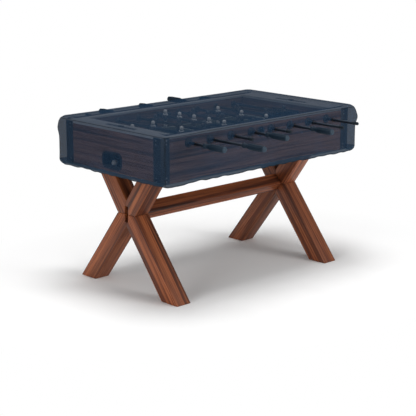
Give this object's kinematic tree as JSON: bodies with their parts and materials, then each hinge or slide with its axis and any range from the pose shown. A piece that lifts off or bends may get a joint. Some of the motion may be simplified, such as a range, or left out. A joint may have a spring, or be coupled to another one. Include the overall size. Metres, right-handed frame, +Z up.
{
  "type": "foosball table",
  "caption": "Table football game on crossed timber trestles, with sliding and spinning rods of men and a fitted see-through dust cover.",
  "frame": {"origin": "on the floor, under the middle of the table", "axes": "+X along the table towards the far goal, +Y along the rods away from the near side, +Z up"},
  "size_m": [1.4488, 1.552, 0.9137],
  "materials": {
    "walnut": "satin laminated walnut",
    "leg_wood": "satin lacquer over red-brown straight grain",
    "light_laminate": "satin light grey",
    "field": "satin dark green laminate",
    "board": "matt black board",
    "black_plastic": "satin black",
    "handle_plastic": "satin black with fine ridges",
    "white_team": "gloss white",
    "dark_team": "gloss black",
    "rod_steel": "polished",
    "cover_film": "see-through navy, soft sheen, dark binding"
  },
  "bodies": {
    "table": {"side_panel_near": "walnut", "side_panel_far": "walnut", "end_panel_left": "walnut", "end_panel_right": "walnut", "side_rail_near": "light_laminate", "side_rail_far": "light_laminate", "end_deck_left": "light_laminate", "end_deck_right": "light_laminate", "goal_wall_left": "light_laminate", "goal_wall_right": "light_laminate", "playfield": "field", "bottom_panel": "board", "ball_return_left": "black_plastic", "ball_return_right": "black_plastic", "leg_left_near": "leg_wood", "leg_left_far": "leg_wood", "leg_right_near": "leg_wood", "leg_right_far": "leg_wood", "stretcher": "leg_wood"},
    "rod_1": {"rod_shaft_1": "rod_steel"},
    "figures_1": {"handle_1": "handle_plastic", "rod_1_man_1": "white_team"},
    "rod_2": {"rod_shaft_2": "rod_steel"},
    "figures_2": {"handle_2": "handle_plastic", "rod_2_man_1": "white_team", "rod_2_man_2": "white_team"},
    "rod_3": {"rod_shaft_3": "rod_steel"},
    "figures_3": {"handle_3": "handle_plastic", "rod_3_man_1": "dark_team", "rod_3_man_2": "dark_team", "rod_3_man_3": "dark_team"},
    "rod_4": {"rod_shaft_4": "rod_steel"},
    "figures_4": {"handle_4": "handle_plastic", "rod_4_man_1": "white_team", "rod_4_man_2": "white_team", "rod_4_man_3": "white_team", "rod_4_man_4": "white_team", "rod_4_man_5": "white_team"},
    "rod_5": {"rod_shaft_5": "rod_steel"},
    "figures_5": {"handle_5": "handle_plastic", "rod_5_man_1": "dark_team", "rod_5_man_2": "dark_team", "rod_5_man_3": "dark_team", "rod_5_man_4": "dark_team", "rod_5_man_5": "dark_team"},
    "rod_6": {"rod_shaft_6": "rod_steel"},
    "figures_6": {"handle_6": "handle_plastic", "rod_6_man_1": "white_team", "rod_6_man_2": "white_team", "rod_6_man_3": "white_team"},
    "rod_7": {"rod_shaft_7": "rod_steel"},
    "figures_7": {"handle_7": "handle_plastic", "rod_7_man_1": "dark_team", "rod_7_man_2": "dark_team"},
    "rod_8": {"rod_shaft_8": "rod_steel"},
    "figures_8": {"handle_8": "handle_plastic", "rod_8_man_1": "dark_team"},
    "score_left": {"score_slider_left": "black_plastic"},
    "score_right": {"score_slider_right": "black_plastic"},
    "cover": {"cover": "cover_film"}
  },
  "joints": [
    {"name": "rod_1_slide", "type": "slide", "parent": "table", "child": "rod_1", "axis": [0, 1, 0], "range_m": [-0.154, 0.046]},
    {"name": "rod_1_spin", "type": "hinge", "parent": "rod_1", "child": "figures_1", "pos_m": [-0.525, 0, 0.846], "axis": [0, 1, 0], "continuous": true},
    {"name": "rod_2_slide", "type": "slide", "parent": "table", "child": "rod_2", "axis": [0, 1, 0], "range_m": [-0.088, 0.196]},
    {"name": "rod_2_spin", "type": "hinge", "parent": "rod_2", "child": "figures_2", "pos_m": [-0.375, 0, 0.846], "axis": [0, 1, 0], "continuous": true},
    {"name": "rod_3_slide", "type": "slide", "parent": "table", "child": "rod_3", "axis": [0, 1, 0], "range_m": [-0.121, 0.079]},
    {"name": "rod_3_spin", "type": "hinge", "parent": "rod_3", "child": "figures_3", "pos_m": [-0.225, 0, 0.846], "axis": [0, 1, 0], "continuous": true},
    {"name": "rod_4_slide", "type": "slide", "parent": "table", "child": "rod_4", "axis": [0, 1, 0], "range_m": [-0.131, 0.013]},
    {"name": "rod_4_spin", "type": "hinge", "parent": "rod_4", "child": "figures_4", "pos_m": [-0.075, 0, 0.846], "axis": [0, 1, 0], "continuous": true},
    {"name": "rod_5_slide", "type": "slide", "parent": "table", "child": "rod_5", "axis": [0, 1, 0], "range_m": [-0.06, 0.084]},
    {"name": "rod_5_spin", "type": "hinge", "parent": "rod_5", "child": "figures_5", "pos_m": [0.075, 0, 0.846], "axis": [0, 1, 0], "continuous": true},
    {"name": "rod_6_slide", "type": "slide", "parent": "table", "child": "rod_6", "axis": [0, 1, 0], "range_m": [-0.086, 0.114]},
    {"name": "rod_6_spin", "type": "hinge", "parent": "rod_6", "child": "figures_6", "pos_m": [0.225, 0, 0.846], "axis": [0, 1, 0], "continuous": true},
    {"name": "rod_7_slide", "type": "slide", "parent": "table", "child": "rod_7", "axis": [0, 1, 0], "range_m": [-0.196, 0.088]},
    {"name": "rod_7_spin", "type": "hinge", "parent": "rod_7", "child": "figures_7", "pos_m": [0.375, 0, 0.846], "axis": [0, 1, 0], "continuous": true},
    {"name": "rod_8_slide", "type": "slide", "parent": "table", "child": "rod_8", "axis": [0, 1, 0], "range_m": [-0.041, 0.159]},
    {"name": "rod_8_spin", "type": "hinge", "parent": "rod_8", "child": "figures_8", "pos_m": [0.525, 0, 0.846], "axis": [0, 1, 0], "continuous": true},
    {"name": "score_left_slide", "type": "slide", "parent": "table", "child": "score_left", "axis": [0, 1, 0], "range_m": [-0.1, 0.1]},
    {"name": "score_right_slide", "type": "slide", "parent": "table", "child": "score_right", "axis": [0, 1, 0], "range_m": [-0.1, 0.1]},
    {"name": "cover_lift", "type": "slide", "parent": "table", "child": "cover", "axis": [0, 0, 1], "range_m": [0, 0.32]}
  ]
}
